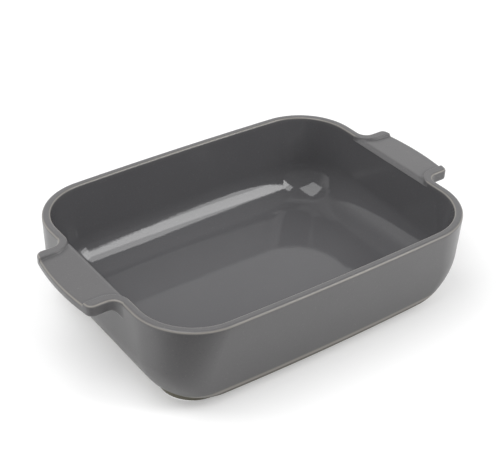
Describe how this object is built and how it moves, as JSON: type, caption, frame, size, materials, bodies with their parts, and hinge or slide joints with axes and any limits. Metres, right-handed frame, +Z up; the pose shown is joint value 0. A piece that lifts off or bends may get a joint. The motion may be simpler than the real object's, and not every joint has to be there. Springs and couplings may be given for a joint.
{
  "type": "lasagna dish",
  "caption": "Deep rectangular stoneware baking dish with rounded corners, a flat rim band, a recessed tab handle at each end and a low foot ring.",
  "frame": {"origin": "on the surface the dish stands on, under the middle of the dish", "axes": "+X along the dish towards the right handle, +Y across the dish, +Z up out of its mouth"},
  "size_m": [0.32, 0.2112, 0.075],
  "materials": {
    "glaze": "gloss",
    "bare_clay": "matte"
  },
  "bodies": {
    "root": {"basin": "glaze", "left_handle": "glaze", "right_handle": "glaze", "foot_ring": "bare_clay"}
  },
  "joints": []
}
